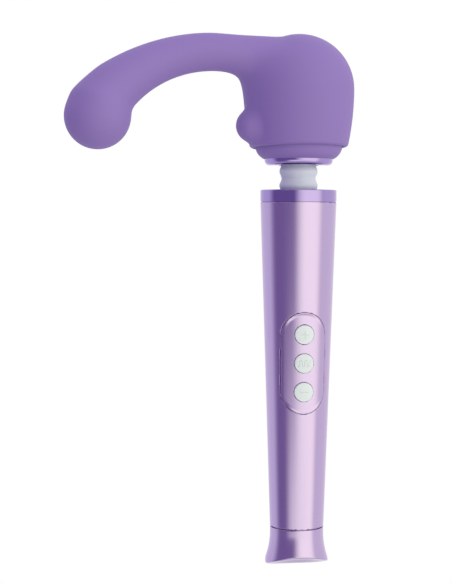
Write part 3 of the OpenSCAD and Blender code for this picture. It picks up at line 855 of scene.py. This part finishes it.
class Tree:
    """A node tree that is written from the shader back to what feeds it."""

    def __init__(self, tree):
        self.tree = tree
        tree.nodes.clear()

    def add(self, kind, inputs=None, **settings):
        """A node with its settings, and its inputs by name or number: values or other sockets."""
        node = self.tree.nodes.new(kind)
        for key, value in settings.items():
            setattr(node, key, value)
        for key, value in (inputs or {}).items():
            if isinstance(value, bpy.types.NodeSocket):
                self.tree.links.new(value, node.inputs[key])
            else:
                node.inputs[key].default_value = value
        return node

    def math(self, operation, a, b=0.0):
        """One sum on two values."""
        return self.add("ShaderNodeMath", {0: a, 1: b}, operation=operation).outputs[0]

    def mix(self, factor, a, b):
        """A mix of two colours."""
        node = self.add("ShaderNodeMix", data_type="RGBA")
        sockets = {"factor": node.inputs[0], "a": node.inputs[6], "b": node.inputs[7]}
        for key, value in (("factor", factor), ("a", a), ("b", b)):
            if isinstance(value, bpy.types.NodeSocket):
                self.tree.links.new(value, sockets[key])
            else:
                sockets[key].default_value = value
        return node.outputs[2]

    def noise(self, scale, detail=3.0, stretch=(1.0, 1.0, 1.0), rough=0.5):
        """Noise in the object's own metres; stretch below 1 draws it out along that axis."""
        place = self.add("ShaderNodeTexCoord").outputs["Object"]
        place = self.add("ShaderNodeMapping", {"Vector": place, "Scale": stretch}).outputs[0]
        return self.add("ShaderNodeTexNoise", {"Vector": place, "Scale": scale, "Detail": detail,
                                               "Roughness": rough}).outputs[0]


def tint(colour, factor):
    """A colour made lighter or darker, with its alpha."""
    return tuple(min(1.0, c * factor) for c in colour) + (1.0,)


def material(name, colour, rough, metal=0.0, vary=0.05, rough_vary=0.05, vary_scale=60.0,
             grain=2500.0, bump=0.1, depth=0.00002, stretch=(1.0, 1.0, 1.0), pattern=None, **fixed):
    """A finish with its colour and roughness varied and a fine relief.

    pattern is a function of the tree that gives a height for the relief and the colour.
    fixed are values for the shader's own sockets, with _ for each space.
    """
    made = bpy.data.materials.new(name)
    made.use_nodes = True
    tree = Tree(made.node_tree)
    shader = tree.add("ShaderNodeBsdfPrincipled")
    shader.inputs["Metallic"].default_value = metal
    for key, value in fixed.items():
        shader.inputs[key.replace("_", " ")].default_value = value
    cloud = tree.noise(vary_scale, 4.0, stretch)
    fine = tree.noise(grain, 2.0, stretch)
    hue = tree.mix(cloud, tint(colour, 1 - vary), tint(colour, 1 + vary))
    height = fine
    if pattern:
        relief = pattern(tree)
        # The colour is darkened where the pattern is low: on the buttons this is painted shade in the
        # engraved grooves.
        hue = tree.mix(relief, tree.mix(0.5, hue, tint(colour, 0.35)), hue)
        height = tree.math("ADD", tree.math("MULTIPLY", relief, 3.0), fine)
    tree.tree.links.new(hue, shader.inputs["Base Color"])
    spread = tree.add("ShaderNodeMapRange", {0: tree.math("MULTIPLY_ADD", fine, 0.6), 3: rough - rough_vary,
                                             4: rough + rough_vary})
    tree.tree.links.new(spread.outputs[0], shader.inputs["Roughness"])
    relief = tree.add("ShaderNodeBump", {"Height": height, "Strength": bump, "Distance": depth})
    tree.tree.links.new(relief.outputs[0], shader.inputs["Normal"])
    out = tree.add("ShaderNodeOutputMaterial", {0: shader.outputs[0]})
    out.target = "ALL"
    return made


def painted_groove_shade(tree):
    """A pattern that paints shade inside the engraved symbols: the colour is darker where they are cut
    deeper.
    """
    groove_shade = tree.add("ShaderNodeAttribute", attribute_name="groove_shade", attribute_type="GEOMETRY").outputs["Fac"]
    return tree.math("SUBTRACT", 1.0, tree.math("MULTIPLY", groove_shade, 0.42))


def bands(scale, direction="Z", distortion=0.0):
    """A pattern of fine ridges across one axis."""
    def pattern(tree):
        place = tree.add("ShaderNodeTexCoord").outputs["Object"]
        wave = tree.add("ShaderNodeTexWave", {"Vector": place, "Scale": scale, "Distortion": distortion},
                        wave_type="BANDS", bands_direction=direction)
        return wave.outputs[1]
    return pattern


SATIN = (0.50, 0.38, 0.62)
POLISHED = (0.38, 0.28, 0.58)
SILICONE = (0.24, 0.15, 0.45)

FINISHES = {
    "anodised_violet": dict(colour=SATIN, rough=0.2, metal=1.0, vary=0.02, rough_vary=0.03, grain=1400.0,
                            bump=0.12, depth=0.00001, stretch=(1.0, 1.0, 0.06)),
    "polished_violet": dict(colour=POLISHED, rough=0.06, metal=1.0, vary=0.01, rough_vary=0.015, grain=900.0,
                            bump=0.03, depth=0.00001),
    "soft_violet": dict(colour=SILICONE, rough=0.62, vary=0.015, rough_vary=0.05, grain=3800.0, bump=0.25,
                        depth=0.00004, vary_scale=30.0, Specular_IOR_Level=0.3, Sheen_Weight=0.07,
                        Sheen_Roughness=0.4, Sheen_Tint=(0.75, 0.62, 0.95, 1.0)),
    "neck_silicone": dict(colour=(0.66, 0.67, 0.82), rough=0.5, vary=0.015, rough_vary=0.04, grain=3500.0,
                          bump=0.2, depth=0.00003, Subsurface_Weight=0.15,
                          Subsurface_Radius=(0.002, 0.002, 0.003), Specular_IOR_Level=0.35),
    # The buttons' finish paints shade in the grooves of their engraved symbols.
    "button_resin": dict(colour=(0.66, 0.69, 0.75), rough=0.4, vary=0.01, rough_vary=0.03, grain=3000.0,
                         bump=0.08, depth=0.00002, pattern=painted_groove_shade, Subsurface_Weight=0.1,
                         Subsurface_Radius=(0.001, 0.001, 0.001)),
    "nylon_dark": dict(colour=(0.03, 0.03, 0.035), rough=0.55, grain=3000.0, bump=0.3, vary=0.2),
    "seal_rubber": dict(colour=(0.04, 0.04, 0.045), rough=0.65, grain=3500.0, bump=0.3, vary=0.15),
    "membrane_silicone": dict(colour=(0.60, 0.60, 0.62), rough=0.5, grain=2500.0, Subsurface_Weight=0.1,
                              Subsurface_Radius=(0.001, 0.001, 0.001)),
    "socket_black": dict(colour=(0.015, 0.015, 0.018), rough=0.4, grain=2800.0, bump=0.2, vary=0.2),
    "wire_red": dict(colour=(0.55, 0.03, 0.03), rough=0.4, grain=2500.0, bump=0.1),
    "cell_sleeve": dict(colour=(0.05, 0.20, 0.42), rough=0.35, grain=600.0, bump=0.15, vary=0.08,
                        Coat_Weight=0.4),
    "nickel": dict(colour=(0.70, 0.68, 0.64), rough=0.3, metal=1.0, stretch=(0.1, 1.0, 1.0)),
    "board_green": dict(colour=(0.01, 0.16, 0.07), rough=0.35, grain=1500.0, bump=0.1, vary=0.12,
                        Coat_Weight=0.3),
    "chip_black": dict(colour=(0.02, 0.02, 0.022), rough=0.5, grain=4000.0, bump=0.3, vary=0.15),
    "screw_steel": dict(colour=(0.60, 0.60, 0.62), rough=0.3, metal=1.0, pattern=bands(900.0)),
    "spring_steel": dict(colour=(0.48, 0.48, 0.50), rough=0.32, metal=1.0, grain=2200.0, bump=0.1),
    "motor_steel": dict(colour=(0.55, 0.55, 0.56), rough=0.28, metal=1.0, stretch=(1.0, 1.0, 0.08)),
    "core_steel": dict(colour=(0.35, 0.35, 0.37), rough=0.4, metal=1.0, pattern=bands(300.0)),
    "bell_plastic": dict(colour=(0.78, 0.74, 0.62), rough=0.45, grain=2500.0, bump=0.15),
    "bush_bronze": dict(colour=(0.50, 0.28, 0.13), rough=0.4, metal=1.0, grain=5000.0, bump=0.3),
    "copper_wire": dict(colour=(0.62, 0.25, 0.12), rough=0.3, metal=1.0, pattern=bands(500.0, "X", 1.0)),
    "weight_brass": dict(colour=(0.62, 0.46, 0.18), rough=0.3, metal=1.0, pattern=bands(700.0)),
}


def finish_all(pieces):
    """Gives every piece and every CAD node the finish of its material slot."""
    made = {name: material(name + "_finish", **spec) for name, spec in FINISHES.items()}
    slot_of = {row["node"]: row["material_slot"] for row in frame["record"]["subparts"]}
    for name, obj in nodes.items():
        obj.data.materials.clear()
        obj.data.materials.append(made[slot_of[name]])
    for obj in pieces:
        obj.data.materials.clear()
        obj.data.materials.append(made[obj["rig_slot"]])


# ---- Studio: camera, light and floor

CAMERA_PLACE = Vector((-0.1539, -0.7238, 0.172))
CAMERA_YAW = 9.22
CAMERA_PITCH = 2.9
CAMERA_ROLL = 0.18
CAMERA_LENS = 91.2
CAMERA_SIDE = 12.0


def make_camera():
    """The camera in front, a little to the arm's side, at the height of the handle's upper end."""
    data = bpy.data.cameras.new("camera")
    data.sensor_width = 36.0
    data.lens = CAMERA_LENS
    data.clip_start, data.clip_end = 0.01, 20.0
    camera = bpy.data.objects.new("camera", data)
    bpy.context.scene.collection.objects.link(camera)
    yaw, pitch = math.radians(CAMERA_YAW), math.radians(CAMERA_PITCH)
    ahead = Vector((math.sin(yaw) * math.cos(pitch), math.cos(yaw) * math.cos(pitch), -math.sin(pitch)))
    level = ahead.to_track_quat("-Z", "Y").to_matrix()
    roll = Matrix.Rotation(math.radians(CAMERA_ROLL), 3, "Z")
    camera.matrix_world = Matrix.Translation(CAMERA_PLACE) @ (level @ roll).to_4x4()
    bpy.context.scene.camera = camera


# Plain soft boxes, set out in degrees: side is round from the camera's own side, below is where it starts.

ROOM = (0.28, 0.21, 0.42)
OVERHEAD = (1.2, 1.2, 1.2)
FLOOR_GLOW = (0.7, 0.7, 0.7)
BACKDROP = (1.0, 1.0, 1.0)
SOFT_BOXES = {
    "key": dict(side=40, width=10, edge=45, colour=(1.7, 1.8, 1.4)),
    "low_front": dict(side=5, width=10, edge=45, colour=(1.5, 1.6, 1.3), below=-8),
    "back_left": dict(side=-150, width=45, edge=30, colour=(0.9, 0.9, 1.0)),
    "back_right": dict(side=140, width=50, edge=25, colour=(1.0, 1.0, 1.0)),
}


def opaque(colour):
    """A colour with its alpha."""
    return tuple(colour) + (1.0,)


def smooth_step(tree, value, start, end):
    """From 0 where a value is at start to 1 where it is at end."""
    node = tree.add("ShaderNodeMapRange", {0: value, 1: start, 2: end, 3: 0.0, 4: 1.0},
                    interpolation_type="SMOOTHSTEP")
    return node.outputs[0]


def box_mask(tree, level, rise, side, width, edge, below=None):
    """How much of a soft box is seen along a direction, from its side in degrees round the camera's."""
    turn = math.radians(side - CAMERA_SIDE)
    facing = tree.add("ShaderNodeVectorMath", {0: level, 1: (math.sin(turn), -math.cos(turn), 0.0)},
                      operation="DOT_PRODUCT").outputs["Value"]
    outer, inner = math.radians(width + edge), math.radians(width)
    mask = smooth_step(tree, facing, math.cos(outer), math.cos(inner))
    if below is None:
        return mask
    return tree.math("MULTIPLY", mask, smooth_step(tree, rise, below, below - 8.0))


def make_world():
    """A dim room with a few plain soft boxes round the object, a bright ceiling and a white backdrop."""
    world = bpy.data.worlds.new("studio")
    bpy.context.scene.world = world
    world.use_nodes = True
    tree = Tree(world.node_tree)
    place = tree.add("ShaderNodeTexCoord").outputs["Generated"]
    flat = (1.0, 1.0, 0.0)
    level = tree.add("ShaderNodeVectorMath", {0: place, 1: flat}, operation="MULTIPLY").outputs[0]
    level = tree.add("ShaderNodeVectorMath", {0: level}, operation="NORMALIZE").outputs[0]
    up = tree.add("ShaderNodeSeparateXYZ", {0: place}).outputs[2]
    rise = tree.math("DEGREES", tree.math("ARCSINE", up))
    light = opaque(ROOM)
    for box in SOFT_BOXES.values():
        where = {key: value for key, value in box.items() if key != "colour"}
        light = tree.mix(box_mask(tree, level, rise, **where), light, opaque(box["colour"]))
    light = tree.mix(smooth_step(tree, rise, 20.0, 60.0), light, opaque(OVERHEAD))
    light = tree.mix(smooth_step(tree, rise, -20.0, -60.0), light, opaque(FLOOR_GLOW))
    seen = tree.add("ShaderNodeLightPath").outputs["Is Camera Ray"]
    light = tree.mix(seen, light, opaque(BACKDROP))
    back = tree.add("ShaderNodeBackground", {"Color": light})
    tree.add("ShaderNodeOutputWorld", {0: back.outputs[0]})


def glowing(name, build):
    """A material that gives off light of a colour that build works out."""
    paint = bpy.data.materials.new(name)
    paint.use_nodes = True
    tree = Tree(paint.node_tree)
    shader = build(tree)
    tree.add("ShaderNodeOutputMaterial", {0: shader})
    return paint


def stage_only(obj, paint):
    """Makes an object a studio prop that the camera sees and that lights nothing."""
    obj.data.materials.append(paint)
    obj.visible_glossy = False
    obj.visible_diffuse = False
    obj.visible_shadow = False


def make_floor():
    """A plain white floor, evenly lit, that is clear from below."""
    def build(tree):
        glow = tree.add("ShaderNodeEmission", {"Color": (1.0, 1.0, 1.0, 1.0), "Strength": 1.0})
        clear = tree.add("ShaderNodeBsdfTransparent")
        behind = tree.add("ShaderNodeNewGeometry").outputs["Backfacing"]
        sides = {0: behind, 1: glow.outputs[0], 2: clear.outputs[0]}
        return tree.add("ShaderNodeMixShader", sides).outputs[0]

    under = cad_box[0].z / MM - 0.5
    half = 4000.0
    corners = [(-half, -half, under), (half, -half, under), (half, half, under), (-half, half, under)]
    stage_only(add_mesh("floor", corners, [(0, 1, 2, 3)], smooth=False), glowing("floor_white", build))


# ---- Build

attachment = make_attachment()
end_cap = make_end_cap()
neck = make_neck()
tube = make_tube()
panel = make_panel()
buttons = [make_button("plus", 1), make_button("wave", 0), make_button("minus", -1)]
finish_all([attachment, end_cap, tube, panel] + buttons + neck["boot"] + neck["spring"] + neck["leads"])
make_camera()
make_world()
make_floor()
bpy.context.scene.view_settings.view_transform = "Standard"
